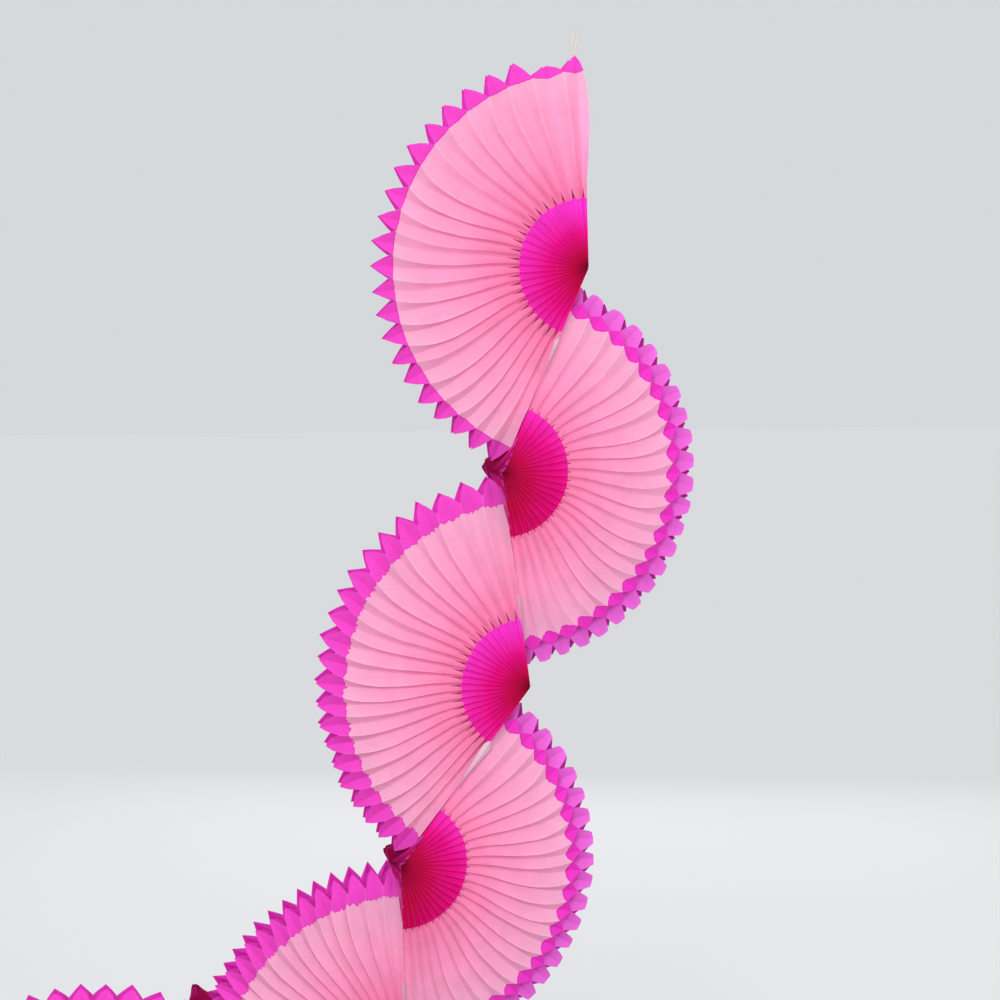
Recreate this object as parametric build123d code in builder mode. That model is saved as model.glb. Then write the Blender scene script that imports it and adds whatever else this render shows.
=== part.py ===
"""Paper honeycomb streamer: half-round tissue fans that hang as one long serpentine.

The origin is the point under the hanging loop's arch that rests on a hook. +Z is up and the
front of the streamer faces -Y. Each fan is a pad of tissue leaves bound along a spine
that runs front to back. Glue lines alternate from leaf to leaf, so the open pad shows a
ridge, then a valley, then a ridge, and its cells stand open round the rim.
"""

from build123d import *
import math
import os

# Streamer: every length in millimetres, every angle in degrees
LEAF_LENGTH = 184.0  # from the spine to the tip of a tooth, in the fans on the left
RIM_DEPTH = 28.3  # front to back of an open pad, at the tips of its teeth
SPINE_CLEARANCE = 4.0  # from the tip of a tooth to the spine of the next fan
FIRST_EDGE_ANGLE = 91.4  # free edge of the top fan, from +X
FAN_ANGLES = (155.4, 149.4, 136.0, 142.5, 68.0, 98.0, 140.0)
FAN_PLEAT_COUNTS = (23, 22, 22, 22, 14, 16, 21)
TOP_SPINE_RIGHT = 9.0  # spine of the top fan, from the hook
TOP_TOOTH_BELOW = 15.0  # its longest leaf ends this far under the hook
HALF_TURN = 180

# Leaves: hub tissue, then body tissue, then rim tissue
HUB_SHARE = 0.348
BEND_SHARE = 0.61  # where the swell of the open pad begins to fall off
FOLD_SHARE = 0.05  # depth of a fold, as a share of the distance from the spine
LEFT_RIM_BAND = 26.0  # width of the rim tissue, to the tips of the teeth
LEFT_TOOTH = 13.0
RIGHT_TRIM = 12.0  # the fans on the right are cut shorter, and back from row to row
RIGHT_RIM_BAND = 22.0
RIGHT_TOOTH = 18.0
RIGHT_ROW_SHARES = (1, 2 / 3, 1 / 3, 0, 0)
BOUND_EDGE_RADIUS = 3.2  # glued ends of the leaves, rolled round the spine
BOUND_EDGE_SIDES = 8
CELL_POCKET = 8.0  # how far an open cell sinks in at the rim

# Leaf: four strips of tissue between five glue lines, counted from the front
GLUE_LINES = 5
MIDDLE_LINE = GLUE_LINES // 2
WIDEST_PITCH = max(angle / count for angle, count in zip(FAN_ANGLES, FAN_PLEAT_COUNTS))
CELL_DEPTH = math.hypot(
    LEAF_LENGTH * math.radians(WIDEST_PITCH / 2), RIM_DEPTH / (GLUE_LINES - 1)
)
LEAF_DEPTH = CELL_DEPTH * (GLUE_LINES - 1)  # length of a spine, front to back
SPINE_GAP = LEAF_LENGTH + SPINE_CLEARANCE
HUB_RADIUS = LEAF_LENGTH * HUB_SHARE
BEND_RADIUS = LEAF_LENGTH * BEND_SHARE

# Hanging loop of string, knotted through the top tooth
STRING_DIAMETER = 1.6
LOOP_WIDTH = 6.4  # between the middles of the strands at the hook
LOOP_BEND_RADIUS = 2.8
LOOP_FORWARD = 10.6  # strands pass in front of the middle of the pad
KNOT_RADIUS = 2.2
KNOT_PROUD = 5.3
KNOT_BELOW_TIP = 7.0
KNOT_LINE_SHARE = 0.75  # of the way from the free edge to the middle of the top tooth

FRONT = Vector(0, -1, 0)


class Fan:
    """One open pad: where its spine is, the angles of its glue lines and its rim."""

    def __init__(self, spine, start, span, pleats, on_left):
        self.spine = spine
        self.on_left = on_left
        self.low = min(start, start + span)
        self.pitch = abs(span) / pleats
        self.lines = 2 * pleats + 1
        self.tip = LEAF_LENGTH if on_left else LEAF_LENGTH - RIGHT_TRIM
        self.rim = self.tip - (LEFT_RIM_BAND if on_left else RIGHT_RIM_BAND)
        self.bends = [0, HUB_RADIUS, BEND_RADIUS, self.rim, self.tip]

    def swell(self, radius):
        """Half the depth of the open pad at a distance from its spine."""
        inner, outer = next(p for p in zip(self.bends, self.bends[1:]) if radius <= p[1])
        share = (radius - inner) / (outer - inner)
        return self.full_swell(inner) * (1 - share) + self.full_swell(outer) * share

    def full_swell(self, radius):
        """The same, where a flat strip of tissue spans a ridge and a valley."""
        stretch = radius * math.radians(self.pitch / 2)
        return MIDDLE_LINE * math.sqrt(CELL_DEPTH**2 - stretch**2)

    def height(self, column, radius):
        """How far a glue line stands in front of the middle of the pad."""
        if column % 2 == 0:
            return self.swell(radius) * (MIDDLE_LINE - column) / MIDDLE_LINE
        side = 1 if column < MIDDLE_LINE else -1
        return side * (self.swell(radius) - FOLD_SHARE * radius)

    def end_radius(self, column):
        """Where the cut end of the leaves crosses a glue line."""
        if self.on_left:
            return self.tip - LEFT_TOOTH if column % 2 == 0 else self.tip
        return self.tip - RIGHT_TOOTH * RIGHT_ROW_SHARES[column]

    def place(self, line, radius, height):
        """A point of the pad in the streamer's frame."""
        angle = math.radians(self.low + self.pitch / 2 * line)
        return self.spine + Vector(math.cos(angle), 0, math.sin(angle)) * radius + FRONT * height

    def on_line(self, line, column, radius):
        return self.place(line, radius, self.height(column, radius))

    def side(self, line, radii, front):
        """The points of one face of the pad along a line, from the spine outwards."""
        column = line % 2 if front else GLUE_LINES - 1 - line % 2
        return [self.on_line(line, column, radius) for radius in radii]

    def corner(self, line, column):
        return self.on_line(line, column, self.end_radius(column))

    def pocket(self, line, column):
        """The bottom of the open cell that a line crosses between its glue lines."""
        around = [self.end_radius(c) for c in (column - 1, column, column, column + 1)]
        radius = sum(around) / len(around) - CELL_POCKET
        share = (MIDDLE_LINE - column) / MIDDLE_LINE
        return self.place(line, radius, self.swell(radius) * share)

    def rim_end(self, line):
        """Corners and cell bottoms of the rim on an even line, front to back."""
        return [
            self.corner(line, column) if column % 2 == 0 else self.pocket(line, column)
            for column in range(GLUE_LINES)
        ]


def folded(outlines):
    """A closed solid from the outlines of its flat panels."""
    panels = []
    for outline in outlines:
        corners = [p for i, p in enumerate(outline) if (p - outline[i - 1]).length > 0]
        panels.append(Face(Wire.make_polygon(corners, close=True)))
    return Solid(Shell(panels))


def sleeve(fan, radii):
    """Panels of a ring of the pad: both pleated faces, from the first radius to the last."""
    panels = []
    for line in range(fan.lines - 1):
        for front in (True, False):
            here = fan.side(line, radii, front)
            there = fan.side(line + 1, radii, front)
            for i in range(len(radii) - 1):
                panels.append([here[i], here[i + 1], there[i + 1], there[i]])
    return panels


def wall(fan, radius):
    """Panels across the depth of the pad at one radius."""
    panels = []
    for line in range(fan.lines - 1):
        here = [fan.side(line, [radius], front)[0] for front in (True, False)]
        there = [fan.side(line + 1, [radius], front)[0] for front in (False, True)]
        panels.append(here + there)
    return panels


def leaf_end(fan, line, radii):
    """Panel of the pad along its first or last leaf."""
    return fan.side(line, radii, True) + fan.side(line, radii, False)[::-1]


def hub_ring(fan):
    radii = [0, HUB_RADIUS]
    ends = [leaf_end(fan, line, radii) for line in (0, fan.lines - 1)]
    return folded(sleeve(fan, radii) + wall(fan, HUB_RADIUS) + ends)


def body_ring(fan):
    radii = [HUB_RADIUS, BEND_RADIUS, fan.rim]
    ends = [leaf_end(fan, line, radii) for line in (0, fan.lines - 1)]
    return folded(sleeve(fan, radii) + wall(fan, HUB_RADIUS) + wall(fan, fan.rim) + ends)


def rim_ring(fan):
    """The rim: cut teeth, and a row of open cells between each two glue lines."""
    panels = wall(fan, fan.rim)
    for line in range(fan.lines - 1):
        even, odd = (line, line + 1) if line % 2 == 0 else (line + 1, line)
        for front in (True, False):
            ridge, valley = (0, 1) if front else (GLUE_LINES - 1, GLUE_LINES - 2)
            panels.append([
                fan.on_line(even, ridge, fan.rim), fan.corner(even, ridge),
                fan.corner(odd, valley), fan.on_line(odd, valley, fan.rim),
            ])
        for column in range(1, GLUE_LINES - 1):
            middle, edge = (even, odd) if column % 2 == 1 else (odd, even)
            bottom = fan.pocket(middle, column)
            for near in (column - 1, column + 1):
                panels.append([fan.corner(middle, near), fan.corner(edge, column), bottom])
    for line in (0, fan.lines - 1):
        inner = [fan.side(line, [fan.rim], front)[0] for front in (True, False)]
        panels.append([inner[0]] + fan.rim_end(line) + [inner[1]])
    return folded(panels)


def serpentine():
    """The fans in order: each spine lies where the last leaf of the fan above ends."""
    fans = []
    spine = Vector(TOP_SPINE_RIGHT, LOOP_FORWARD, -TOP_TOOTH_BELOW - LEAF_LENGTH)
    start = FIRST_EDGE_ANGLE
    for number, (span, pleats) in enumerate(zip(FAN_ANGLES, FAN_PLEAT_COUNTS)):
        on_left = number % 2 == 0
        turn = span if on_left else -span
        fans.append(Fan(spine, start, turn, pleats, on_left))
        heading = math.radians(start + turn)
        spine = spine + Vector(math.cos(heading), 0, math.sin(heading)) * SPINE_GAP
        start = start + turn + HALF_TURN
    return fans


os.makedirs("parts", exist_ok=True)

FANS = serpentine()
TOP = FANS[0]
KNOT = TOP.place(KNOT_LINE_SHARE, TOP.tip - KNOT_BELOW_TIP, 0)
KNOT_FRONT = TOP.height(1, TOP.tip - KNOT_BELOW_TIP) + KNOT_PROUD
PAD_FRONT = Plane(origin=(0, 0, 0), x_dir=(1, 0, 0), z_dir=(0, -1, 0))

for number, fan in enumerate(FANS, start=1):
    at_spine = Plane(origin=fan.spine, x_dir=PAD_FRONT.x_dir, z_dir=PAD_FRONT.z_dir)
    hub_tissue = hub_ring(fan)
    body_tissue = body_ring(fan)
    rim_tissue = rim_ring(fan)

    with BuildPart() as hub:
        add(hub_tissue)
        with BuildSketch(at_spine):
            RegularPolygon(BOUND_EDGE_RADIUS, BOUND_EDGE_SIDES)
        extrude(amount=LEAF_DEPTH / 2, both=True)
    hub.part.label = f"hub_{number}"
    export_step(hub.part, f"parts/hub_{number}.step")

    with BuildPart() as body:
        add(body_tissue)
    body.part.label = f"body_{number}"
    export_step(body.part, f"parts/body_{number}.step")

    with BuildPart() as rim:
        add(rim_tissue)
        if fan is TOP:
            with BuildSketch(Plane(origin=KNOT, x_dir=PAD_FRONT.x_dir, z_dir=PAD_FRONT.z_dir)):
                Circle(KNOT_RADIUS)
            extrude(amount=LEAF_DEPTH, both=True, mode=Mode.SUBTRACT)
    rim.part.label = f"rim_{number}"
    export_step(rim.part, f"parts/rim_{number}.step")

# Knot: a short plug of string through the top tooth, proud at both faces
with BuildPart() as loop_knot:
    with BuildSketch(Plane(origin=KNOT, x_dir=PAD_FRONT.x_dir, z_dir=PAD_FRONT.z_dir)):
        Circle(KNOT_RADIUS)
    extrude(amount=KNOT_FRONT, both=True)
loop_knot.part.label = "loop_knot"
export_step(loop_knot.part, "parts/loop_knot.step")

# Loop: two strands that rise in front of the tooth and meet over the hook
STRING_RADIUS = STRING_DIAMETER / 2
print(f"hang_loop: string of radius {STRING_RADIUS}, two bends of radius {LOOP_BEND_RADIUS}")
with BuildPart() as hang_loop:
    with BuildLine() as route:
        FilletPolyline(
            (KNOT.X - STRING_RADIUS, 0, KNOT.Z),
            (-LOOP_WIDTH / 2, 0, STRING_RADIUS),
            (LOOP_WIDTH / 2, 0, STRING_RADIUS),
            (KNOT.X + STRING_RADIUS, 0, KNOT.Z),
            radius=LOOP_BEND_RADIUS,
        )
    with BuildSketch(Plane(origin=route.line @ 0, z_dir=route.line % 0)):
        Circle(STRING_RADIUS)
    sweep()
    add(loop_knot.part, mode=Mode.SUBTRACT)
hang_loop.part.label = "hang_loop"
export_step(hang_loop.part, "parts/hang_loop.step")
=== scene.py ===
"""Paper honeycomb streamer: seven half-round tissue fans that hang as one serpentine.

Each fan is a pad of tissue leaves. A leaf is four strips wide, and it is glued to the leaf
before it and to the leaf after it on alternate glue lines, so the open pad shows ridges and
valleys and its cells stand open round the rim. Sizes are in millimetres until a mesh is
made, and angles are in degrees from +X, counter-clockwise as seen from the front.
"""

from __future__ import annotations

import logging
import math
from dataclasses import dataclass, field
from enum import Enum

import bpy
import numpy as np
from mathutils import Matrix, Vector, noise

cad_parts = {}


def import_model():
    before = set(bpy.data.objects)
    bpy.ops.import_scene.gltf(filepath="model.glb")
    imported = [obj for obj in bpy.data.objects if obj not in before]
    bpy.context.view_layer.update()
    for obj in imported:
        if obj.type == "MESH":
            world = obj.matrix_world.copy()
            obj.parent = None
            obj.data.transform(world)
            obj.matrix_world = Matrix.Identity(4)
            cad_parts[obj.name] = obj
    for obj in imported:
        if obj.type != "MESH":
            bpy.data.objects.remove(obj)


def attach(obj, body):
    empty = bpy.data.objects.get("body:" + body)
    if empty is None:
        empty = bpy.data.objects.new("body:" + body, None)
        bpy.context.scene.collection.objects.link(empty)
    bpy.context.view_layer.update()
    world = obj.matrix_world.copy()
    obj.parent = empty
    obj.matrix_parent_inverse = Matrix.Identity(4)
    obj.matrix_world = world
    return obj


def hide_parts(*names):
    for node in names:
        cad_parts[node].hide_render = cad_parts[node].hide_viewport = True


LOG = logging.getLogger("streamer")
MM = 0.001


# The run of fans
LEAF_LENGTH = 184.0
SPINE_GAP = 188.0
FIRST_EDGE_ANGLE = 91.4
FAN_ANGLES = (155.4, 149.4, 136.0, 142.5, 68.0, 98.0, 140.0)
FAN_PLEATS = (23, 22, 22, 22, 14, 16, 21)
LEFT_FULLNESS, RIGHT_FULLNESS = 0.88, 0.60
LOOP_FORWARD = 10.6
TOP_SPINE = (9.0, LOOP_FORWARD, -199.0)
HALF_TURN = 180

# A leaf: four strips between five glue lines, and how deep its valleys are along it
STRIPS = 4
STRIP_WIDTH = 12.998
VALLEY_AT = (0.0, 40.0, 62.0, 76.0, 112.0, LEAF_LENGTH)
VALLEY_SHARES = (0.22, 0.42, 0.80, 0.74, 0.38, 0.36)
VALLEY_LEAST = 0.3
LEAF_SMOOTH_ANGLE = 34.0
SCRAP_SMOOTH_ANGLE = 40.0

# Shape of a strip between a ridge and a valley: a lower power is a rounder ridge
HUB_KEENNESS = 1.45
KEENNESS_AT = (82.0, 120.0)
KEENNESS = (0.55, 0.7, 1.05)
HUB_END_POWER = 7.0
SEAM_POWER = 1.6
SAG_PEAK = 27 / 4  # brings the greatest value of reach squared times (1 - reach) to 1

# Distances in from where a leaf is cut shortest, each with the run over which a change comes
TIP_CHANGE_FROM, TIP_CHANGE_RUN = 6.0, 16.0
FLAT_FROM, FLAT_RUN = 32.0, 28.0
CROWD_FROM, CROWD_RUN = 20.0, 26.0

# How the glue lines of a fan differ: a seed's offset and a pace for each of their features
TURN_WANDER = (0.0, 0.9)
TIP_WANDER = (0.4, 1.7)
BOW_WANDER = (0.7, 0.8)
UNEVEN_EASE, SAG_EASE = 12, 9  # how fast each comes in from the end of a fan
BOW_FROM = 20.0

# Steps through the noise for each place across, leaf, fold or joint
TEAR_PACE = (5.3, 3.1)
RUFFLE_PACE = (5.1, 3.0)
STRIP_PACE = (3.0, 5.0)
DRIFT_OFFSETS = (Vector((9.3, -1.5, -8.0)), Vector((0.0, 0.0, 0.0)), Vector((6.3, 0.2, -2.7)))


class Side(Enum):
    """Which way a fan opens, seen from the front."""

    LEFT = 1
    RIGHT = -1


class Band(Enum):
    """The three colours of tissue that a leaf is pasted up from."""

    HUB = "hub"
    BODY = "body"
    RIM = "rim"


def srgb(red: int, green: int, blue: int, alpha: float = 1.0) -> tuple[float, float, float, float]:
    """A colour given in 0 to 255 steps, as the linear colour that a shader takes.

    Args:
        red: Red as seen on a screen.
        green: Green as seen on a screen.
        blue: Blue as seen on a screen.
        alpha: Opacity.

    Returns:
        Linear red, green, blue and alpha.
    """
    linear = []
    for value in (red, green, blue):
        share = value / 255
        linear.append(share / 12.92 if share <= 0.04045 else ((share + 0.055) / 1.055) ** 2.4)
    return (*linear, alpha)


def deselect_all() -> None:
    """Leave nothing selected, so that an operator acts on the new piece alone."""
    bpy.ops.object.select_all(action="DESELECT")


def smooth(piece: bpy.types.Object, angle: float) -> None:
    """Shade a piece smooth, but for folds keener than an angle in degrees."""
    deselect_all()
    piece.select_set(True)
    bpy.context.view_layer.objects.active = piece
    bpy.ops.object.shade_smooth_by_angle(angle=math.radians(angle))


@dataclass(frozen=True)
class Rim:
    """How the ends of a fan's leaves are cut, as places across the leaf and lengths there."""

    cut: tuple[tuple[float, float], ...]
    body_at_ridge: float
    body_at_valley: float
    ragged: float
    tip_change: float
    crowding: float = 0.0

    @property
    def shortest(self) -> float:
        """Length of the leaf where it is cut shortest."""
        return min(length for _, length in self.cut)

    def reach(self, across: np.ndarray) -> np.ndarray:
        """Length of the leaf at each place across it."""
        return np.interp(across, *zip(*self.cut))


@dataclass(frozen=True)
class Hub:
    """How far the hub tissue reaches, and how much painted shade darkens it at each edge of the
    fan.
    """

    at_ridge: float
    at_valley: float
    painted_shade_gain: tuple[float, float]


@dataclass(frozen=True)
class TopTooth:
    """How the first leaves of the top fan are drawn by the loop that hangs them."""

    turns: tuple[float, ...] = (1.5, 1.6, 0.5)
    tips: tuple[float, float] = (-3.5, -9.0)
    tip_lines: tuple[int, int] = (1, 3)
    bow_lines: tuple[int, int, int] = (0, 3, 8)
    bows: tuple[float, float] = (-4.5, 1.5)
    forward: float = 5.0
    forward_from: float = 120.0
    forward_run: float = 56.0
    forward_share: float = 1.2
    forward_lines: float = 4.0
    leaves: int = 5

    def step_forward(self, across: np.ndarray, line: np.ndarray, along: np.ndarray) -> np.ndarray:
        """How far the leaves stand forward, so that they cover the knot.

        Args:
            across: Places across the leaf, from 0 to 4.
            line: Places between the glue lines, counted from the free edge.
            along: Distances from the spine.

        Returns:
            Distances.
        """
        # The two front strips come forward whole, the third tapers and the back one stays
        front_strips = np.interp(across, (0, 2, 3), (1, 1, 0))
        ahead = front_strips * np.clip(self.forward_share - line / self.forward_lines, 0, 1)
        rise = np.clip((along - self.forward_from) / self.forward_run, 0, 1)
        return self.forward * ahead * rise


TOP_TOOTH = TopTooth()
POINTED_RIM = Rim(
    cut=((0, 167), (0.5, 176.6), (1, 183.5), (1.5, 176.6), (2, 167), (3, 183.5), (4, 167)),
    body_at_ridge=166.6,
    body_at_valley=165.6,
    ragged=0.3,
    tip_change=1.2,
)
KITE_RIM = Rim(
    cut=((0, 170), (0.5, 178.2), (1, 183.5), (1.5, 178.2), (2, 170), (3, 183.5), (4, 170)),
    body_at_ridge=161.0,
    body_at_valley=158.0,
    ragged=1.5,
    tip_change=1.2,
)
STEPPED_RIM = Rim(
    cut=(
        (0, 151),
        (1, 158.5),
        (1.333, 167.5),
        (1.5, 170.6),
        (2, 171.5),
        (2.5, 165),
        (3, 171.5),
        (3.5, 164),
        (4, 160),
    ),
    body_at_ridge=150.4,
    body_at_valley=145.0,
    ragged=0.5,
    tip_change=0.9,
    crowding=8.0,
)
# The last pair of each hub is its painted shade: how much darker the hub is at the fan's first
# edge, and how much more toward its last.
SPIKED_HUB = Hub(59.0, 69.5, (0.0, 0.34))
ROUND_HUB = Hub(57.0, 61.0, (0.22, 0.5))


def wander(seed: float, count: int, pace: float) -> np.ndarray:
    """Smooth uneven values between about -1 and 1, the same on each run.

    Args:
        seed: Which run of values.
        count: How many.
        pace: How fast they change from one to the next.

    Returns:
        The values.
    """
    return np.array([2 * noise.noise(Vector((seed * 7.3, k * pace, 0.5))) for k in range(count)])


def drift(place: Vector) -> Vector:
    """Uneven shift at a place, the same on each run: noise_vector's values change from run to run.

    Args:
        place: The place, in the noise's own units.

    Returns:
        A shift of up to about 1 in each direction.
    """
    return Vector([noise.noise(place + offset) for offset in DRIFT_OFFSETS])


@dataclass
class TissuePad:
    """One open honeycomb fan and the three bands of tissue in its leaves."""

    number: int
    spine: Vector
    start: float
    span: float
    pleats: int
    side: Side
    rim: Rim
    hub: Hub
    fullness: float = 1.0
    bunch: float = 0.10
    unevenness: float = 0.0028
    bow: float = 7.0
    bow_change: float = 0.3
    bow_lines: int = 6
    bound_edge: float = 0.6
    crinkle: float = 0.45
    crinkle_size: float = 19.0
    crinkle_from: float = 60.0
    across: int = 24
    rows: dict[Band, int] = field(
        default_factory=lambda: {Band.HUB: 14, Band.BODY: 20, Band.RIM: 5}
    )
    angles: np.ndarray = field(init=False)
    bows: np.ndarray = field(init=False)
    tips: np.ndarray = field(init=False)

    def __post_init__(self) -> None:
        """Settle what differs from glue line to glue line."""
        self.angles = self.line_angles()
        self.bows = self.line_bows()
        self.tips = self.line_changes(*TIP_WANDER) * self.rim.tip_change
        if self.is_top:
            self.tips[list(TOP_TOOTH.tip_lines)] = TOP_TOOTH.tips

    @property
    def is_top(self) -> bool:
        """Whether this is the fan that the loop hangs."""
        return self.number == 1

    @property
    def leaves(self) -> int:
        """Leaves in the pad: two to a pleat."""
        return 2 * self.pleats

    @property
    def half_pitch(self) -> float:
        """Mean angle between glue lines, in radians."""
        return math.radians(abs(self.span) / self.leaves)

    def line_changes(self, offset: float, pace: float) -> np.ndarray:
        """Uneven values for the glue lines: each feature of them has its own offset and pace."""
        return wander(self.number + offset, self.leaves + 1, pace)

    def line_angles(self) -> np.ndarray:
        """Angle of each glue line in radians: the lower pleats are bunched by their weight.

        Returns:
            One angle for each line, from the first edge of the fan to its last.
        """
        share = np.linspace(0, 1, self.leaves + 1)
        ease = np.minimum(1, np.minimum(share, 1 - share) * UNEVEN_EASE)
        uneven = self.line_changes(*TURN_WANDER) * ease * self.unevenness
        sag = self.bunch * share * (1 - share) * np.clip(share * SAG_EASE, 0, 1)
        angles = self.start + self.span * (share + sag + uneven)
        if self.is_top:
            angles[1 : 1 + len(TOP_TOOTH.turns)] -= TOP_TOOTH.turns
        return np.radians(angles)

    def line_bows(self) -> np.ndarray:
        """How far each glue line sags sideways in the middle, in millimetres.

        Returns:
            One distance for each line: none where the fan is pasted to the next one.
        """
        line = np.arange(self.leaves + 1)
        ease = np.clip(np.minimum(line, self.leaves - line) / self.bow_lines, 0, 1)
        bows = self.bow * ease * (1 + self.bow_change * self.line_changes(*BOW_WANDER))
        if self.is_top:
            last = TOP_TOOTH.bow_lines[-1]
            first = np.interp(line, TOP_TOOTH.bow_lines, (*TOP_TOOTH.bows, bows[last]))
            bows = np.where(line < last, first, bows)
        return bows

    def strip_depth(self, along: np.ndarray) -> np.ndarray:
        """Depth that one strip spans, front to back, at a distance from the spine."""
        return np.sqrt(STRIP_WIDTH**2 - (along * self.half_pitch) ** 2)

    def valley_depth(self, along: np.ndarray) -> np.ndarray:
        """Depth of a valley below its ridges: shallow, because the leaves crowd each other."""
        spread = 2 * self.half_pitch * along
        share = np.interp(along, VALLEY_AT, VALLEY_SHARES) * self.fullness
        return np.minimum(self.strip_depth(along), share * spread + VALLEY_LEAST)

    def past_cut(self, along: np.ndarray, start: float, run: float) -> np.ndarray:
        """Share of a change that starts short of where the leaves are cut shortest.

        Args:
            along: Distances from the spine.
            start: How far before the shortest cut the change starts.
            run: How long it takes.

        Returns:
            Shares from 0 to 1.
        """
        return np.clip((along - self.rim.shortest + start) / run, 0, 1)

    def at_columns(self, values: tuple[float, ...], across: np.ndarray, power: float) -> np.ndarray:
        """A value given on the glue lines, carried over the strips between them.

        Args:
            values: One value for each glue line, front to back.
            across: Places across the leaf, from 0 to 4.
            power: How sharply the value keeps near the lower of its two ends.

        Returns:
            The value at each place.
        """
        column = np.minimum(np.floor(across).astype(int), STRIPS - 1)
        part = across - column
        table = np.array(values)
        first, last = table[column], table[column + 1]
        part = np.where(first <= last, part**power, 1 - (1 - part) ** power)
        return first + (last - first) * part

    def band_edges(
        self, band: Band, leaf: int, across: np.ndarray
    ) -> tuple[np.ndarray, np.ndarray]:
        """Where a band of tissue starts and ends along the leaf.

        Args:
            band: Which tissue.
            leaf: Which leaf, counted from the first edge of the fan.
            across: Places across the leaf, from 0 to 4.

        Returns:
            Distances from the spine of the inner and the outer edge.
        """
        hub = (self.hub.at_ridge, self.hub.at_valley) * 2 + (self.hub.at_ridge,)
        seam = (self.rim.body_at_ridge, self.rim.body_at_valley) * 2 + (self.rim.body_at_ridge,)
        hub_end = self.at_columns(hub, across, HUB_END_POWER)
        pace, leaf_pace = TEAR_PACE
        torn = [noise.noise(Vector((a * pace, leaf * leaf_pace, self.number))) for a in across]
        body_end = self.at_columns(seam, across, SEAM_POWER)
        body_end = body_end + np.array(torn) * 2 * self.rim.ragged
        edges = {
            Band.HUB: (np.full_like(across, self.bound_edge), hub_end),
            Band.BODY: (hub_end, body_end),
            Band.RIM: (body_end, self.rim.reach(across)),
        }
        return edges[band]

    def lay_leaf(
        self, band: Band, leaf: int, across: np.ndarray, along: np.ndarray
    ) -> np.ndarray:
        """Put points of a flat leaf where the open pad holds them.

        Args:
            band: Which tissue.
            leaf: Which leaf, counted from the first edge of the fan.
            across: Places across the leaf, from 0 at the front to 4 at the back.
            along: Distances from the spine.

        Returns:
            Rows of x, y and z.
        """
        column = np.minimum(np.floor(across).astype(int), STRIPS - 1)
        part = across - column
        here = np.where((leaf + column) % 2 == 0, leaf, leaf + 1)
        there = 2 * leaf + 1 - here
        toward_valley = np.where(column % 2 == 0, part, 1 - part)
        tip = np.where(column % 2 == 0, self.tips[there], self.tips[here])
        near_cut = self.past_cut(along, TIP_CHANGE_FROM, TIP_CHANGE_RUN)
        along = along + tip * toward_valley * near_cut
        turn = self.angles[here] + (self.angles[there] - self.angles[here]) * part
        bow = self.bows[here] + (self.bows[there] - self.bows[here]) * part
        reach = np.clip((along - self.hub.at_ridge) / (self.rim.shortest - self.hub.at_ridge), 0, 1)
        outwards = np.abs(across - STRIPS / 2) / (STRIPS / 2)
        bow = bow * outwards * SAG_PEAK * reach**2 * (1 - reach)
        turn = turn + self.side.value * bow / np.maximum(along, BOW_FROM)
        points = np.empty((len(across), 3))
        points[:, 0] = self.spine.x + along * np.cos(turn)
        points[:, 1] = self.spine.y + self.lay_depth(band, column, part, along)
        points[:, 2] = self.spine.z + along * np.sin(turn)
        if self.is_top and leaf < TOP_TOOTH.leaves:
            line = here + (there - here) * part
            points[:, 1] -= TOP_TOOTH.step_forward(across, line, along)
        return points + self.crumple(points, along)

    def lay_depth(
        self, band: Band, column: np.ndarray, part: np.ndarray, along: np.ndarray
    ) -> np.ndarray:
        """How far behind the pad's middle each point lies.

        Args:
            band: Which tissue.
            column: Strip that the point is on, counted from the front.
            part: Share of the way over that strip.
            along: Distances from the spine.

        Returns:
            Depths: full ridges on the hub, keen ones past it, and flat strips at the cut.
        """
        keenness = np.interp(along, (self.hub.at_ridge, *KEENNESS_AT), KEENNESS)
        if band is Band.HUB:
            keenness = np.full_like(along, HUB_KEENNESS)
        ridge = np.sin(np.pi * part / 2) ** keenness
        back_ridge = 1 - np.sin(np.pi * (1 - part) / 2) ** keenness
        curve = np.where(column == STRIPS - 1, back_ridge, (1 - np.cos(np.pi * part)) / 2)
        curve = np.where(column == 0, ridge, curve)
        flat = self.past_cut(along, FLAT_FROM, FLAT_RUN)
        curve = curve * (1 - flat) + part * flat
        reach_back = 2 * self.strip_depth(along)
        valley = reach_back - self.valley_depth(along)
        crowd = self.past_cut(along, CROWD_FROM, CROWD_RUN) * self.rim.crowding
        levels = np.stack([-reach_back, -valley, -crowd, valley - crowd / 2, reach_back])
        every = np.arange(len(along))
        near, far = levels[column, every], levels[column + 1, every]
        return near + (far - near) * curve

    def crumple(self, points: np.ndarray, along: np.ndarray) -> np.ndarray:
        """Small handling creases, none at the spine.

        Args:
            points: Rows of x, y and z.
            along: Distances from the spine.

        Returns:
            How far each point moves.
        """
        ease = np.clip(along / self.crinkle_from, 0, 1) * self.crinkle
        moves = [drift(Vector(p) / self.crinkle_size) for p in points]
        return np.array(moves) * ease[:, None]

    def dye_and_painted_light(self, band: Band, leaf: int, across: np.ndarray, along: np.ndarray) -> np.ndarray:
        """Place of each point in its tissue's range of colours, which holds the dye and painted
        light: on the hub painted shade darkens it toward the spine and the later leaves, and on the
        rim each strip takes a lit or a shaded step.

        Args:
            band: Which tissue.
            leaf: Which leaf, counted from the first edge of the fan.
            across: Places across the leaf, from 0 to 4.
            along: Distances from the spine.

        Returns:
            Shares from 0 to 1.
        """
        if band is Band.HUB:
            # Painted shade: the hub darkens toward the spine and toward the fan's later leaves.
            turned = leaf / self.leaves
            first, gain = self.hub.painted_shade_gain
            return along / self.hub.at_ridge * (1 - (first + gain * turned))
        if band is Band.BODY:
            return (along - self.hub.at_ridge) / (self.rim.body_at_ridge - self.hub.at_ridge)
        # Painted light and shade on the rim: each strip takes its own step of colour.
        return across / STRIPS

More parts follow.
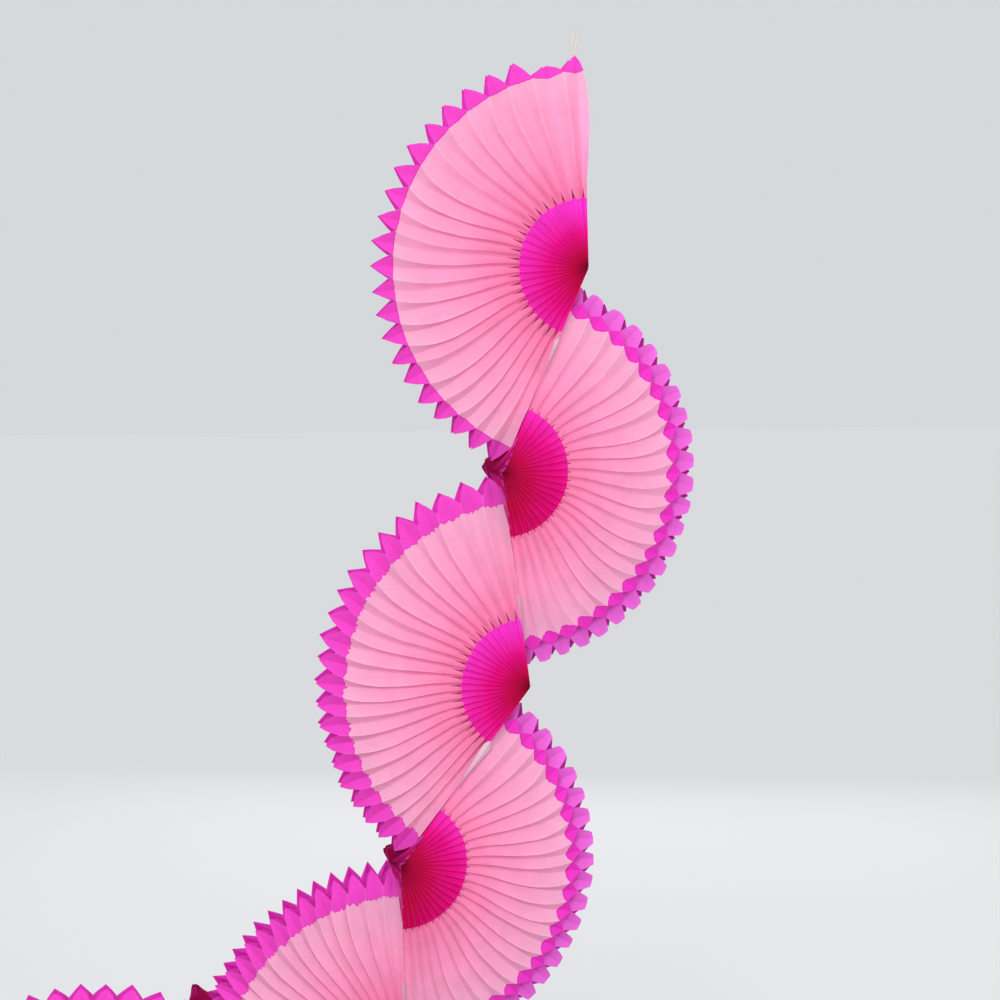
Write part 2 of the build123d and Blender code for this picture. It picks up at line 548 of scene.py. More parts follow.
    def flat_sheet(self, band: Band) -> tuple[np.ndarray, np.ndarray, np.ndarray]:
        """A flat grid for one band of a leaf, made once and laid for every leaf.

        Args:
            band: Which tissue.

        Returns:
            Places across from 0 to 4, places along from 0 to 1, and the corners of each face.
        """
        deselect_all()
        bpy.ops.mesh.primitive_grid_add(
            x_subdivisions=self.across, y_subdivisions=self.rows[band], size=1.0
        )
        sheet = bpy.context.object
        corners = np.array([v.co[:2] for v in sheet.data.vertices]) + 0.5
        faces = np.array([p.vertices[:] for p in sheet.data.polygons])
        bpy.data.objects.remove(sheet, do_unlink=True)
        return corners[:, 0] * STRIPS, corners[:, 1], faces

    def build_band(self, band: Band) -> bpy.types.Object:
        """Lay one band of every leaf, with a map that follows each leaf.

        Args:
            band: Which tissue.

        Returns:
            The piece.
        """
        across, share, faces = self.flat_sheet(band)
        points, corners, dye_and_painted_light_values, inners, alongs = [], [], [], [], []
        for leaf in range(self.leaves):
            inner, outer = self.band_edges(band, leaf, across)
            along = inner + (outer - inner) * share
            points.append(self.lay_leaf(band, leaf, across, along))
            corners.append(faces + leaf * len(across))
            dye_and_painted_light_values.append(self.dye_and_painted_light(band, leaf, across, along))
            inners.append(inner)
            alongs.append(along)
        inner, along = np.concatenate(inners), np.concatenate(alongs)
        points, corners = np.concatenate(points), np.concatenate(corners)
        mesh = bpy.data.meshes.new(f"fan_{self.number}_{band.value}_tissue")
        mesh.from_pydata((points * MM).tolist(), [], corners.tolist())
        leaf_map = mesh.uv_layers.new(name="LeafMap")
        on_leaf = np.stack([np.tile(across / STRIPS, self.leaves), along / LEAF_LENGTH], axis=1)
        leaf_map.data.foreach_set("uv", on_leaf[corners.ravel()].ravel())
        tones = {
            "dye_and_painted_light": np.concatenate(dye_and_painted_light_values),
            "from_seam": along - inner,
            "past_ridge": along - self.hub.at_ridge,
        }
        for name, values in tones.items():
            layer = mesh.attributes.new(name, "FLOAT", "POINT")
            layer.data.foreach_set("value", values.astype(np.float32))
        piece = bpy.data.objects.new(mesh.name, mesh)
        bpy.context.collection.objects.link(piece)
        smooth(piece, LEAF_SMOOTH_ANGLE)
        return piece


@dataclass(frozen=True)
class TissueFinish:
    """Dyed tissue: its colours in order, some with painted light and shade, and how it takes the
    light.
    """

    name: str
    colours: tuple[tuple[float, tuple[float, float, float, float]], ...]
    # A paler colour and its strength paint a highlight along the folds.
    fold_highlight_colour: tuple[float, float, float, float]
    fold_highlight: float
    stepped: bool = False
    seam_shade: float = 0.0
    # A dark colour painted as shade in the valleys just past the hub's ridges.
    valley_shade_colour: tuple[float, float, float, float] | None = None
    see_through: float = 0.42
    roughness: float = 0.78
    gloss: float = 0.1
    fibre_scale: float = 900.0
    crumple_scale: float = 70.0
    bump: float = 0.3
    bump_height: float = 0.0008
    # Where the painted valley shade starts and where it is full, in millimetres past the hub's
    # ridge.
    valley_shade_start: tuple[float, float] = (0.5, 2.5)
    lap_end: tuple[float, float] = (1.0, 1.6)


HUB_FINISH = TissueFinish(
    name="cerise_tissue",
    # From dark crimson at the spine to bright magenta at the hub's edge: the cerise dye, darkened
    # toward the spine by painted shade.
    colours=(
        (0.0, srgb(156, 0, 40)),
        (0.22, srgb(204, 0, 72)),
        (0.50, srgb(236, 8, 142)),
        (0.92, srgb(251, 64, 222)),
    ),
    fold_highlight_colour=srgb(255, 100, 218),
    fold_highlight=0.22,
    # Painted shade in the valleys just past the hub's ridges.
    valley_shade_colour=srgb(158, 6, 78),
    see_through=0.36,
)
BODY_FINISH = TissueFinish(
    name="pink_tissue",
    colours=(
        (0.0, srgb(254, 148, 196)),
        (0.25, srgb(253, 162, 206)),
        (0.65, srgb(251, 173, 211)),
        (1.0, srgb(245, 184, 214)),
    ),
    fold_highlight_colour=srgb(255, 210, 232),
    fold_highlight=0.38,
)
LEFT_RIM_FINISH = TissueFinish(
    name="magenta_tissue_left",
    # One step of colour per strip: the back strips a little darker, a painted shade.
    colours=((0.0, srgb(240, 80, 207)), (0.25, srgb(236, 72, 203)), (0.5, srgb(228, 62, 196))),
    fold_highlight_colour=srgb(250, 130, 226),
    fold_highlight=0.3,
    stepped=True,
    seam_shade=0.10,
)
RIGHT_RIM_FINISH = TissueFinish(
    name="magenta_tissue_right",
    # The same magenta tissue as the left rim, one step per strip with painted light and shade: the
    # front strip bright, the second a lit lilac, the back two shaded.
    colours=((0.0, srgb(240, 62, 204)), (0.25, srgb(238, 112, 222)), (0.5, srgb(216, 56, 186))),
    fold_highlight_colour=srgb(248, 140, 228),
    fold_highlight=0.2,
    stepped=True,
    seam_shade=0.12,
)
JOINT_FINISH = TissueFinish(
    name="bound_tissue",
    colours=((0.0, srgb(132, 2, 52)), (0.45, srgb(196, 16, 124)), (1.0, srgb(232, 104, 200))),
    fold_highlight_colour=srgb(230, 130, 190),
    fold_highlight=0.25,
)
SEAM_FINISH = TissueFinish(
    name="paste_strip",
    colours=((0.0, srgb(222, 196, 210)), (1.0, srgb(216, 176, 198))),
    fold_highlight_colour=srgb(236, 220, 228),
    fold_highlight=0.3,
    see_through=0.3,
)


@dataclass(frozen=True)
class PaperGrain:
    """Fibres and crumples, and the ranges in which they shade the paper and patch the painted
    highlight on its folds.
    """

    fibre_detail: float = 4.0
    fibre_distortion: float = 1.2
    fibre_share: float = 0.3
    crumple_detail: float = 3.0
    crumple_roughness: float = 0.6
    mottling: tuple[tuple[float, float], ...] = ((0.40, 0.90), (0.94, 1.05))
    fold_reach: tuple[tuple[float, float], ...] = ((0.004, 0.034), (1.0, 0.0))
    fold_patches: tuple[tuple[float, float], ...] = ((0.3, 0.6), (0.45, 1.0))


class TissueShaders:
    """Materials of the tissues, and the paper grain that they share."""

    def __init__(self) -> None:
        """Make the shared node group once."""
        self.paper = PaperGrain()
        self.grain = self.make_grain()

    def make_grain(self) -> bpy.types.ShaderNodeTree:
        """Fibres, mottling and fine crumples of tissue paper, and a patchy painted highlight on its
        folds.

        Returns:
            A group that puts out a shade for the colour, a height, and a mask for the painted
            highlight on the folds.
        """
        group = bpy.data.node_groups.new("TissueGrain", "ShaderNodeTree")
        sockets = group.interface
        sockets.new_socket("Fibre Scale", in_out="INPUT", socket_type="NodeSocketFloat")
        sockets.new_socket("Crumple Scale", in_out="INPUT", socket_type="NodeSocketFloat")
        sockets.new_socket("Shade", in_out="OUTPUT", socket_type="NodeSocketFloat")
        sockets.new_socket("Height", in_out="OUTPUT", socket_type="NodeSocketFloat")
        sockets.new_socket("Fold", in_out="OUTPUT", socket_type="NodeSocketFloat")
        nodes, links = group.nodes, group.links
        given, out = nodes.new("NodeGroupInput"), nodes.new("NodeGroupOutput")
        place = nodes.new("ShaderNodeTexCoord")
        fibre, crumple = nodes.new("ShaderNodeTexNoise"), nodes.new("ShaderNodeTexNoise")
        fibre.inputs["Detail"].default_value = self.paper.fibre_detail
        fibre.inputs["Distortion"].default_value = self.paper.fibre_distortion
        crumple.inputs["Detail"].default_value = self.paper.crumple_detail
        crumple.inputs["Roughness"].default_value = self.paper.crumple_roughness
        links.new(place.outputs["Object"], fibre.inputs["Vector"])
        links.new(place.outputs["Object"], crumple.inputs["Vector"])
        links.new(given.outputs["Fibre Scale"], fibre.inputs["Scale"])
        links.new(given.outputs["Crumple Scale"], crumple.inputs["Scale"])
        share, rough = self.paper.fibre_share, crumple.outputs["Fac"]
        both = self.math(group, "MULTIPLY_ADD", fibre.outputs["Fac"], share, rough)
        shade = self.ramp_range(group, both, *self.paper.mottling)
        # Painted highlight along each leaf's front and back glue lines, in patches.
        leaf, split = nodes.new("ShaderNodeUVMap"), nodes.new("ShaderNodeSeparateXYZ")
        leaf.uv_map = "LeafMap"
        links.new(leaf.outputs["UV"], split.inputs[0])
        other = self.math(group, "SUBTRACT", 1.0, split.outputs["X"])
        nearest = self.math(group, "MINIMUM", split.outputs["X"], other)
        fold = self.ramp_range(group, nearest, *self.paper.fold_reach)
        patchy = self.ramp_range(group, rough, *self.paper.fold_patches)
        highlight_mask = self.math(group, "MULTIPLY", fold, patchy)
        links.new(shade, out.inputs["Shade"])
        links.new(both, out.inputs["Height"])
        links.new(highlight_mask, out.inputs["Fold"])
        return group

    def math(
        self, tree: bpy.types.NodeTree, operation: str, *terms: bpy.types.NodeSocket | float
    ) -> bpy.types.NodeSocket:
        """Add a Math node.

        Args:
            tree: Where it goes.
            operation: What it does.
            terms: Sockets or numbers that it takes, in order.

        Returns:
            Its output.
        """
        node = tree.nodes.new("ShaderNodeMath")
        node.operation = operation
        for socket, term in zip(node.inputs, terms):
            if isinstance(term, (int, float)):
                socket.default_value = term
            else:
                tree.links.new(term, socket)
        return node.outputs[0]

    def ramp_range(
        self,
        tree: bpy.types.NodeTree,
        value: bpy.types.NodeSocket,
        taken: tuple[float, float],
        given: tuple[float, float],
    ) -> bpy.types.NodeSocket:
        """Carry a value from one range to another, and hold it inside.

        Args:
            tree: Where the node goes.
            value: The value.
            taken: Range that it comes in.
            given: Range that it leaves in.

        Returns:
            The carried value.
        """
        node = tree.nodes.new("ShaderNodeMapRange")
        tree.links.new(value, node.inputs["Value"])
        for socket, number in zip(node.inputs[1:5], (*taken, *given)):
            socket.default_value = number
        return node.outputs["Result"]

    def attribute(self, tree: bpy.types.NodeTree, name: str) -> bpy.types.NodeSocket:
        """Read a number that the piece's own mesh carries."""
        node = tree.nodes.new("ShaderNodeAttribute")
        node.attribute_name = name
        return node.outputs["Fac"]

    def blend(
        self,
        tree: bpy.types.NodeTree,
        mask: bpy.types.NodeSocket,
        under: bpy.types.NodeSocket,
        over: tuple[float, float, float, float],
    ) -> bpy.types.NodeSocket:
        """Lay a colour over another by a mask.

        Args:
            tree: Where the node goes.
            mask: How much of the upper colour shows.
            under: The lower colour.
            over: The upper colour.

        Returns:
            The mixed colour.
        """
        node = tree.nodes.new("ShaderNodeMix")
        node.data_type = "RGBA"
        tree.links.new(mask, node.inputs["Factor"])
        tree.links.new(under, node.inputs[6])
        node.inputs[7].default_value = over
        return node.outputs[2]

    def dress(self, finish: TissueFinish) -> bpy.types.Material:
        """Make the material of one tissue.

        Args:
            finish: Its colours and how it takes the light.

        Returns:
            The material.
        """
        material = bpy.data.materials.new(finish.name)
        material.use_nodes = True
        tree = material.node_tree
        nodes, links = tree.nodes, tree.links
        nodes.clear()
        grain = nodes.new("ShaderNodeGroup")
        grain.node_tree = self.grain
        grain.inputs["Fibre Scale"].default_value = finish.fibre_scale
        grain.inputs["Crumple Scale"].default_value = finish.crumple_scale
        # The ramp gives the tissue's dye, with painted light and shade where the finish's colours
        # set it.
        dye_and_painted_light = nodes.new("ShaderNodeValToRGB")
        dye_and_painted_light.color_ramp.interpolation = "CONSTANT" if finish.stepped else "LINEAR"
        stops = dye_and_painted_light.color_ramp.elements
        while len(stops) < len(finish.colours):
            stops.new(1.0)
        for stop, (place, colour) in zip(stops, finish.colours):
            stop.position, stop.color = place, colour
        links.new(self.attribute(tree, "dye_and_painted_light"), dye_and_painted_light.inputs["Fac"])
        # Painted highlight: a paler colour along the folds.
        highlight_mask = self.math(tree, "MULTIPLY", grain.outputs["Fold"], finish.fold_highlight)
        colour = self.blend(tree, highlight_mask, dye_and_painted_light.outputs["Color"], finish.fold_highlight_colour)
        # Painted shade: dark crimson in the valleys just past the hub's ridges.
        if finish.valley_shade_colour:
            past = self.attribute(tree, "past_ridge")
            valley_shade = self.ramp_range(tree, past, finish.valley_shade_start, (0.0, 1.0))
            colour = self.blend(tree, valley_shade, colour, finish.valley_shade_colour)
        shade = grain.outputs["Shade"]
        if finish.seam_shade:
            seam = self.attribute(tree, "from_seam")
            lap = self.ramp_range(tree, seam, finish.lap_end, (1 - finish.seam_shade, 1.0))
            shade = self.math(tree, "MULTIPLY", shade, lap)
        shaded = nodes.new("ShaderNodeVectorMath")
        shaded.operation = "SCALE"
        links.new(colour, shaded.inputs[0])
        links.new(shade, shaded.inputs["Scale"])
        bump = nodes.new("ShaderNodeBump")
        bump.inputs["Strength"].default_value = finish.bump
        bump.inputs["Distance"].default_value = finish.bump_height
        links.new(grain.outputs["Height"], bump.inputs["Height"])
        paper = nodes.new("ShaderNodeBsdfPrincipled")
        through = nodes.new("ShaderNodeBsdfTranslucent")
        paper.inputs["Roughness"].default_value = finish.roughness
        paper.inputs["Specular IOR Level"].default_value = finish.gloss
        mixed, out = nodes.new("ShaderNodeMixShader"), nodes.new("ShaderNodeOutputMaterial")
        mixed.inputs[0].default_value = finish.see_through
        links.new(shaded.outputs[0], paper.inputs["Base Color"])
        links.new(shaded.outputs[0], through.inputs["Color"])
        links.new(bump.outputs["Normal"], paper.inputs["Normal"])
        links.new(bump.outputs["Normal"], through.inputs["Normal"])
        links.new(paper.outputs[0], mixed.inputs[1])
        links.new(through.outputs[0], mixed.inputs[2])
        links.new(mixed.outputs[0], out.inputs["Surface"])
        return material


@dataclass(frozen=True)
class Fold:
    """A narrow fold of bound tissue, from beside the spine to a place on a seam."""

    out: float
    along: float
    width: float
    tone: float
    inset: float = 0.0
    start: float = 0.6
    swell: float = 3.0
    taper: float = 0.6
    own_dye: float = 0.7
    end_dye: float = 0.3

    def width_at(self, along: float) -> float:
        """Width at a share of the way along: it swells from the start and tapers to the end."""
        return self.width * min(1.0, self.start + self.swell * along) * (1 - self.taper * along)

    def dye_at(self, along: float) -> float:
        """Place in the tissue's range of colours at a share of the way along."""
        return self.tone * self.own_dye + self.end_dye * along


BOUND_FOLDS = (
    Fold(8.5, 6.0, 4.6, 0.0),
    Fold(7.5, 14.0, 5.2, 0.1),
    Fold(5.5, 24.0, 5.0, 0.3),
    Fold(3.0, 31.0, 4.4, 0.55),
    Fold(1.0, 25.0, 3.6, 0.85),
    Fold(6.5, 1.5, 6.5, 0.1),
    Fold(9.5, -7.0, 4.6, 0.0),
    Fold(8.5, -22.0, 5.2, 0.3),
    Fold(6.5, -38.0, 5.0, 0.75),
    Fold(4.0, -50.0, 4.6, 0.45),
    Fold(1.5, -46.0, 3.8, 1.0),
    Fold(8.0, 12.0, 17.0, 0.05, inset=22.0),
)


# Start, end and width of the paste strip that shows past each joint
JOINT_STRIPS = (
    (64.0, 98.0, 4.5),
    (106.0, 150.0, 3.0),
    (58.0, 106.0, 8.0),
    (104.0, 150.0, 3.0),
    (60.0, 100.0, 5.0),
    (104.0, 150.0, 3.0),
)


@dataclass
class JointPaper:
    """Crumpled bound ends of the leaves at a joint, and the paste strip that shows beside it."""

    number: int
    spine: Vector
    heading: float
    strip: tuple[float, float, float]
    front: float = -26.0
    rows: int = 10
    strips_apart: float = 1.5
    stand_off: float = 3.4
    crest: float = 2.4
    layer: float = 0.45
    ruffle: float = 1.6
    strip_stand_off: float = 0.6
    strip_crest: float = 5.0
    strip_ruffle: float = 0.8
    strip_start: float = 0.2
    strip_swell: float = 8.0
    strip_taper: float = 0.8

    def sheet(self, name: str, count: int) -> tuple[bpy.types.Object, np.ndarray]:
        """A run of small flat strips, four faces wide, to be shaped.

        Args:
            name: Name of the piece.
            count: How many strips.

        Returns:
            The piece, and for each corner its strip and its places across and along.
        """
        deselect_all()
        bpy.ops.mesh.primitive_grid_add(x_subdivisions=4, y_subdivisions=self.rows, size=1.0)
        piece = bpy.context.object
        piece.name = piece.data.name = name
        deselect_all()
        piece.select_set(True)
        bpy.context.view_layer.objects.active = piece
        array = piece.modifiers.new("strips", "ARRAY")
        array.count = count
        array.relative_offset_displace = (self.strips_apart, 0, 0)
        bpy.ops.object.modifier_apply(modifier=array.name)
        flat = np.array([v.co[:2] for v in piece.data.vertices]) + 0.5
        which = np.floor(flat[:, 0] / self.strips_apart + 1e-4)
        return piece, np.stack([which, flat[:, 0] - which * self.strips_apart, flat[:, 1]], axis=1)

    def shape(self, piece: bpy.types.Object, points: np.ndarray, places: np.ndarray) -> None:
        """Put the corners in place and note where each one is on its strip.

        Args:
            piece: The piece.
            points: Rows of x, y and z in millimetres.
            places: Strip, place across and place along of each corner.
        """
        piece.data.vertices.foreach_set("co", (points * MM).ravel())
        piece.data.uv_layers[0].name = "LeafMap"
        corners = np.empty(len(piece.data.loops), dtype=int)
        piece.data.loops.foreach_get("vertex_index", corners)
        piece.data.uv_layers[0].data.foreach_set("uv", places[corners, 1:].ravel())
        dye_and_painted_light = piece.data.attributes.new("dye_and_painted_light", "FLOAT", "POINT")
        dye_and_painted_light.data.foreach_set("value", places[:, 2].astype(np.float32))
        piece.data.update()
        smooth(piece, SCRAP_SMOOTH_ANGLE)

    def build_ends(self, pad: TissuePad) -> bpy.types.Object:
        """Folds of bound tissue that gather outside the end of a spine and run down its seams.

        Args:
            pad: The fan that opens away from them.

        Returns:
            The piece.
        """
        piece, places = self.sheet(f"joint_{self.number}_bound_ends", 2 * len(BOUND_FOLDS))
        upper, lower = pad.angles[0], pad.angles[-1]
        middle = (upper + lower) / 2 + math.pi
        outward = Vector((math.cos(middle), 0, math.sin(middle)))
        points = np.empty((len(places), 3))
        for row, (which, across, along) in enumerate(places):
            fold = BOUND_FOLDS[int(which) % len(BOUND_FOLDS)]
            face = 1 if which < len(BOUND_FOLDS) else -1
            turn = upper if fold.along > 0 else lower
            seam = Vector((math.cos(turn), 0, math.sin(turn))) * abs(fold.along)
            start, end = outward * fold.out, seam - outward * 0.5
            run = (end - start).normalized()
            aside = Vector((-run.z, 0, run.x))
            in_noise = Vector((which * RUFFLE_PACE[0], along * RUFFLE_PACE[1], across))
            ruffle = drift(in_noise) * self.ruffle
            side = aside * fold.width_at(along) * (across - 0.5)
            place = pad.spine + start.lerp(end, along) + side
            place = place + ruffle * (1 - along)
            crest = abs(across - 0.5) * self.crest + self.layer * (which % len(BOUND_FOLDS))
            depth = self.front - self.stand_off + (crest + fold.inset)
            points[row] = (place.x, pad.spine.y + face * depth, place.z)
            places[row, 2] = fold.dye_at(along)
        self.shape(piece, points, places)
        return piece

    def build_strip(self) -> bpy.types.Object:
        """A pale strip of pasted paper that opens a little between two fans.

        Returns:
            The piece.
        """
        first, last, width = self.strip
        piece, places = self.sheet(f"joint_{self.number}_paste_strip", 1)
        ahead = Vector((math.cos(self.heading), 0, math.sin(self.heading)))
        points = np.empty((len(places), 3))
        for row, (_, across, along) in enumerate(places):
            middle = self.spine + ahead * (first + (last - first) * along)
            swell = min(1.0, self.strip_start + self.strip_swell * along)
            side = width * (across - 0.5) * swell * (1 - along) ** self.strip_taper
            lift = abs(across - 0.5) * self.strip_crest
            in_noise = Vector((self.number * STRIP_PACE[0], along * STRIP_PACE[1], across))
            uneven = noise.noise(in_noise)
            points[row] = (
                middle.x - side * ahead.z,
                middle.y + self.front - self.strip_stand_off + lift + uneven * self.strip_ruffle,
                middle.z + side * ahead.x,
            )
        self.shape(piece, points, places)
        return piece


@dataclass(frozen=True)
class StringFinish:
    """Off-white cotton string."""

    name: str = "cotton_string"
    colour: tuple[float, float, float, float] = srgb(214, 205, 192)
    shade: tuple[float, float, float, float] = srgb(172, 160, 146)
    roughness: float = 0.9
    twist_scale: float = 420.0
    twist_distortion: float = 1.5
    groove: float = 0.6
    bump: float = 0.5
    bump_height: float = 0.0002

    def dress(self) -> bpy.types.Material:
        """Make the material: a fine twist, with painted shade in its grooves.

        Returns:
            The material.
        """
        material = bpy.data.materials.new(self.name)
        material.use_nodes = True
        nodes, links = material.node_tree.nodes, material.node_tree.links
        cotton = nodes["Principled BSDF"]
        cotton.inputs["Roughness"].default_value = self.roughness
        place, twist = nodes.new("ShaderNodeTexCoord"), nodes.new("ShaderNodeTexWave")
        twist.bands_direction = "DIAGONAL"
        twist.inputs["Scale"].default_value = self.twist_scale
        twist.inputs["Distortion"].default_value = self.twist_distortion
        links.new(place.outputs["Object"], twist.inputs["Vector"])
        # Painted shade: the grooves of the twist take the darker colour.
        tone = nodes.new("ShaderNodeValToRGB")
        tone.color_ramp.elements[0].color = self.shade
        tone.color_ramp.elements[1].color = self.colour
        tone.color_ramp.elements[1].position = self.groove
        links.new(twist.outputs["Fac"], tone.inputs["Fac"])
        links.new(tone.outputs["Color"], cotton.inputs["Base Color"])
        bump = nodes.new("ShaderNodeBump")
        bump.inputs["Strength"].default_value = self.bump
        bump.inputs["Distance"].default_value = self.bump_height
        links.new(twist.outputs["Fac"], bump.inputs["Height"])
        links.new(bump.outputs["Normal"], cotton.inputs["Normal"])
        return material


@dataclass
class StringLoop:
    """The loop that hangs the streamer, and its knot in the top tooth."""

    diameter: float = 1.6
    length: float = 49.0
    turn_radius: float = 1.35
    turn_forward: float = 0.3
    turns: tuple[tuple[float, float], ...] = ((0.5, 0.5), (-0.5, -0.4))
    bar_length: float = 22.0
    bar_bevel: float = 0.5
    knot: tuple[float, float, float] = (-3.14, 0.0, -22.42)
    turn_at: tuple[tuple[float, float, float], ...] = ((-3.2, 0.0, 0.8), (3.2, 0.0, 0.8))

    def build(self, material: bpy.types.Material) -> None:
        """Args:
            material: The string's material.
        """
        start = (self.knot[0] - self.diameter / 2, 0.0, self.knot[2])
        end = (self.knot[0] + self.diameter / 2, 0.0, self.knot[2])
        line = bpy.data.curves.new("hang_loop_string", "CURVE")
        line.dimensions = "3D"
        line.bevel_depth = self.diameter / 2 * MM
        line.bevel_resolution = 5
        line.resolution_u = 16
        route = line.splines.new("NURBS")
        route.points.add(3)
        for point, place in zip(route.points, (start, *self.turn_at, end)):
            point.co = (*(c * MM for c in place), 1)
        route.order_u = 3
        route.use_endpoint_u = True
        strands = bpy.data.objects.new(line.name, line)
        bpy.context.collection.objects.link(strands)
        line.materials.append(material)
        knot = self.build_knot()
        knot.data.materials.append(material)
        for piece, node in ((strands, "hang_loop"), (knot, "loop_knot")):
            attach(piece, "root")
            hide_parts(node)
        LOG.info("string loop and knot")

    def build_knot(self) -> bpy.types.Object:
        """Two turns of string drawn tight over a bar that passes through the tooth.

        Returns:
            The piece.
        """
        middle = Vector(self.knot) * MM
        deselect_all()
        parts = []
        for tilt, lift in self.turns:
            bpy.ops.mesh.primitive_torus_add(
                major_radius=self.turn_radius * MM,
                minor_radius=self.diameter / 2 * MM,
                major_segments=20,
                minor_segments=10,
                location=middle + Vector((0, -self.turn_forward, lift)) * MM,
                rotation=(math.pi / 2 + tilt, tilt, 0),
            )
            parts.append(bpy.context.object)
        bpy.ops.mesh.primitive_cylinder_add(
            vertices=16,
            radius=self.diameter / 2 * MM,
            depth=self.bar_length * MM,
            location=middle + Vector((0, LOOP_FORWARD, 0)) * MM,
            rotation=(math.pi / 2, 0, 0),
        )
        parts.append(bpy.context.object)
        bevel = parts[-1].modifiers.new("ends", "BEVEL")
        bevel.width = self.bar_bevel * MM
        bevel.segments = 3
        bpy.ops.object.modifier_apply(modifier=bevel.name)
        for part in parts:
            part.select_set(True)
        bpy.ops.object.join()
        knot = bpy.context.object
        knot.name = knot.data.name = "hang_loop_knot"
        bpy.ops.object.transform_apply(location=True, rotation=True, scale=True)
        smooth(knot, SCRAP_SMOOTH_ANGLE)
        return knot


@dataclass
class Serpentine:
    """The run of fans, each with its spine where the last leaf of the fan above ends."""

    shaders: TissueShaders
    pads: list[TissuePad] = field(default_factory=list)
    joints: list[JointPaper] = field(default_factory=list)

    def lay_out(self) -> None:
        """Work out the place and the turn of every fan and joint."""
        spine, start = Vector(TOP_SPINE), FIRST_EDGE_ANGLE
        for index, (angle, pleats) in enumerate(zip(FAN_ANGLES, FAN_PLEATS)):
            side = Side.LEFT if index % 2 == 0 else Side.RIGHT
            span = angle * side.value
            if side is Side.RIGHT:
                rim, hub, full = STEPPED_RIM, ROUND_HUB, RIGHT_FULLNESS
            else:
                rim, hub, full = KITE_RIM, SPIKED_HUB, LEFT_FULLNESS
            if index == 0:
                rim = POINTED_RIM
            pad = TissuePad(index + 1, spine, start, span, pleats, side, rim, hub, full)
            self.pads.append(pad)
            heading = math.radians(start + span)
            if index < len(JOINT_STRIPS):
                ahead = Vector((math.cos(heading), 0, math.sin(heading)))
                self.joints.append(JointPaper(index + 1, spine, heading, JOINT_STRIPS[index]))
                spine = spine + ahead * SPINE_GAP
            start = start + span + HALF_TURN

    def build(self) -> None:
        """Make and dress every band of every fan, and the paper at the joints."""
        finishes = (HUB_FINISH, BODY_FINISH, LEFT_RIM_FINISH, RIGHT_RIM_FINISH)
        hub, body, left_rim, right_rim = (self.shaders.dress(finish) for finish in finishes)
        for pad in self.pads:
            rim = left_rim if pad.side is Side.LEFT else right_rim
            for band, material in ((Band.HUB, hub), (Band.BODY, body), (Band.RIM, rim)):
                piece = pad.build_band(band)
                piece.data.materials.append(material)
                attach(piece, "root")
                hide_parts(f"{band.value}_{pad.number}")
                LOG.info("%s: %d faces", piece.name, len(piece.data.polygons))
        bound, paste = self.shaders.dress(JOINT_FINISH), self.shaders.dress(SEAM_FINISH)
        for joint, pad in zip(self.joints, self.pads[1:]):
            pieces = [(joint.build_strip(), paste)]
            if pad.side is Side.RIGHT:
                pieces.append((joint.build_ends(pad), bound))
            for piece, material in pieces:
                piece.data.materials.append(material)
                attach(piece, "root")
                LOG.info("%s", piece.name)


@dataclass(frozen=True)
class SoftLamp:
    """A square area lamp: its name, its place and side in metres, and its power in watts."""

    name: str
    place: tuple[float, float, float]
    side: float
    power: float


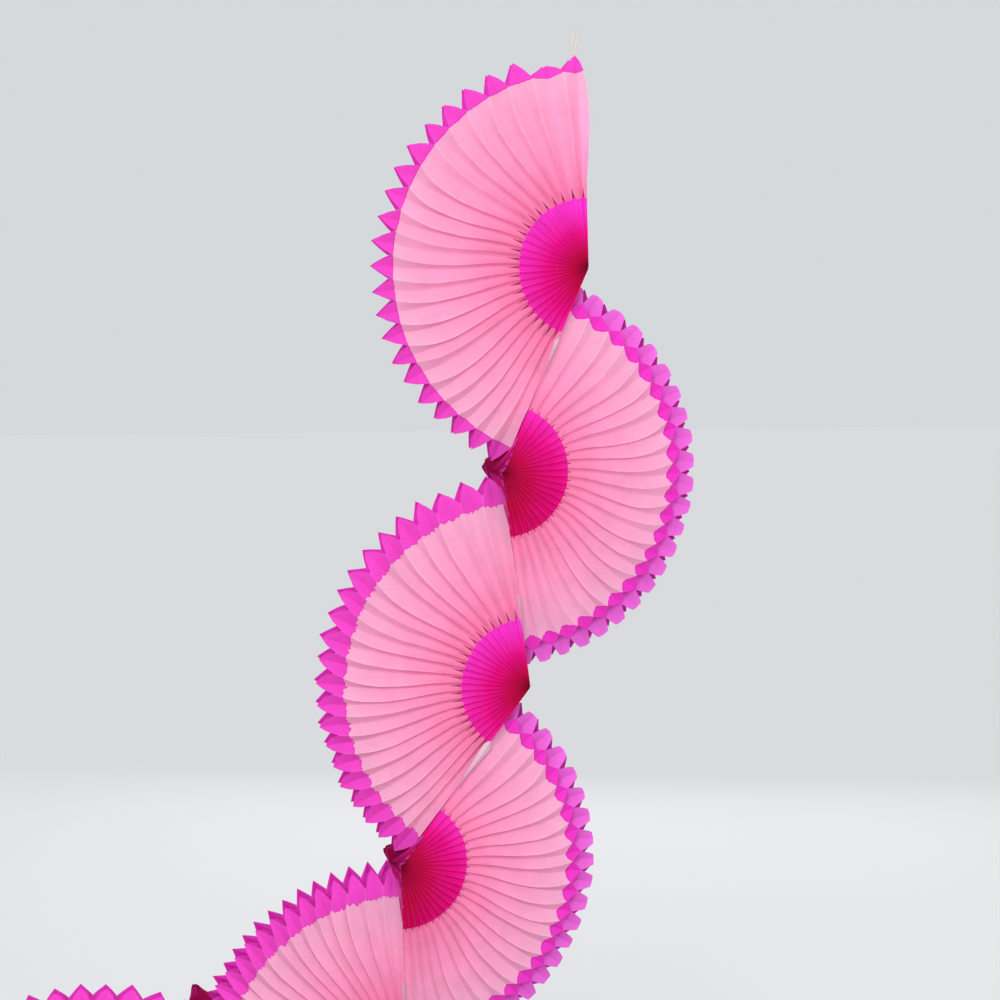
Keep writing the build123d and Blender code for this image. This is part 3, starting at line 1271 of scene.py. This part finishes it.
@dataclass
class Studio:
    """Camera, light and floor for the portrait."""

    yaw: float = 9.0
    down: float = 5.0
    distance: float = 2.244
    lens: float = 93.6
    sensor: float = 36.0
    sight: float = 60.0
    target: tuple[float, float, float] = (-0.0633, 0.0106, -0.3985)
    room_light: tuple[float, float, float, float] = (0.95, 0.97, 1.0, 1)
    room_strength: float = 0.86
    backdrop: tuple[float, float, float, float] = (0.67, 0.69, 0.71, 1)
    lamps: tuple[SoftLamp, ...] = (
        SoftLamp("key", (-0.8, -2.1, 0.3), 1.0, 42.0),
        SoftLamp("fill", (1.4, -1.7, -0.5), 1.4, 13.0),
        SoftLamp("back", (0.4, 2.0, 0.0), 1.6, 10.0),
    )
    floor_height: float = -1.075
    floor_size: float = 24.0
    floor_colour: tuple[float, float, float, float] = (0.30, 0.304, 0.308, 1)
    floor_glow_colour: tuple[float, float, float, float] = (0.78, 0.79, 0.80, 1)
    floor_glow: float = 0.52
    floor_roughness: float = 0.9

    def place_camera(self) -> None:
        """Stand the camera to the left of the streamer and a little above it."""
        yaw, down = math.radians(self.yaw), math.radians(self.down)
        ahead = Vector(
            (math.sin(yaw) * math.cos(down), math.cos(yaw) * math.cos(down), -math.sin(down))
        )
        lens = bpy.data.cameras.new("portrait")
        lens.lens = self.lens
        lens.sensor_width = self.sensor
        lens.clip_end = self.sight
        camera = bpy.data.objects.new("portrait", lens)
        bpy.context.collection.objects.link(camera)
        camera.location = Vector(self.target) - ahead * self.distance
        camera.rotation_euler = ahead.to_track_quat("-Z", "Y").to_euler()
        bpy.context.scene.camera = camera

    def light(self) -> None:
        """Light the room evenly, and hang the soft lamps."""
        world = bpy.data.worlds.new("room")
        bpy.context.scene.world = world
        world.use_nodes = True
        nodes, links = world.node_tree.nodes, world.node_tree.links
        nodes.clear()
        out = nodes.new("ShaderNodeOutputWorld")
        seen, lit = nodes.new("ShaderNodeBackground"), nodes.new("ShaderNodeBackground")
        seen.inputs["Color"].default_value = self.backdrop
        seen.inputs["Strength"].default_value = 1.0
        lit.inputs["Color"].default_value = self.room_light
        lit.inputs["Strength"].default_value = self.room_strength
        path, choose = nodes.new("ShaderNodeLightPath"), nodes.new("ShaderNodeMixShader")
        links.new(path.outputs["Is Camera Ray"], choose.inputs[0])
        links.new(lit.outputs[0], choose.inputs[1])
        links.new(seen.outputs[0], choose.inputs[2])
        links.new(choose.outputs[0], out.inputs["Surface"])
        for lamp in self.lamps:
            self.hang_lamp(lamp)

    def hang_lamp(self, lamp: SoftLamp) -> None:
        """Add a lamp that faces the streamer.

        Args:
            lamp: Which lamp.
        """
        light = bpy.data.lights.new(lamp.name, "AREA")
        light.size = lamp.side
        light.energy = lamp.power
        holder = bpy.data.objects.new(lamp.name, light)
        holder.location = lamp.place
        aim = Vector(self.target) - Vector(lamp.place)
        holder.rotation_euler = aim.to_track_quat("-Z", "Y").to_euler()
        bpy.context.collection.objects.link(holder)

    def lay_floor(self) -> None:
        """Lay a pale floor under the streamer."""
        deselect_all()
        bpy.ops.mesh.primitive_plane_add(size=self.floor_size, location=(0, 0, self.floor_height))
        floor = bpy.context.object
        floor.name = "floor"
        material = bpy.data.materials.new("pale_floor")
        material.use_nodes = True
        paint = material.node_tree.nodes["Principled BSDF"]
        paint.inputs["Base Color"].default_value = self.floor_colour
        paint.inputs["Roughness"].default_value = self.floor_roughness
        path = material.node_tree.nodes.new("ShaderNodeLightPath")
        paint.inputs["Emission Color"].default_value = self.floor_glow_colour
        glow = material.node_tree.nodes.new("ShaderNodeMath")
        glow.operation = "MULTIPLY"
        glow.inputs[1].default_value = self.floor_glow
        material.node_tree.links.new(path.outputs["Is Camera Ray"], glow.inputs[0])
        material.node_tree.links.new(glow.outputs[0], paint.inputs["Emission Strength"])
        floor.data.materials.append(material)


def main() -> None:
    """Load the frame, build each sub-assembly in order and note the sizes."""
    logging.basicConfig(level=logging.INFO, format="%(name)s: %(message)s")
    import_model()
    bpy.context.scene.view_settings.view_transform = "Standard"
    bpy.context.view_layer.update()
    studio = Studio()
    studio.place_camera()
    studio.light()
    studio.lay_floor()
    StringLoop().build(StringFinish().dress())
    streamer = Serpentine(TissueShaders())
    streamer.lay_out()
    streamer.build()


if __name__ == "__main__":
    main()
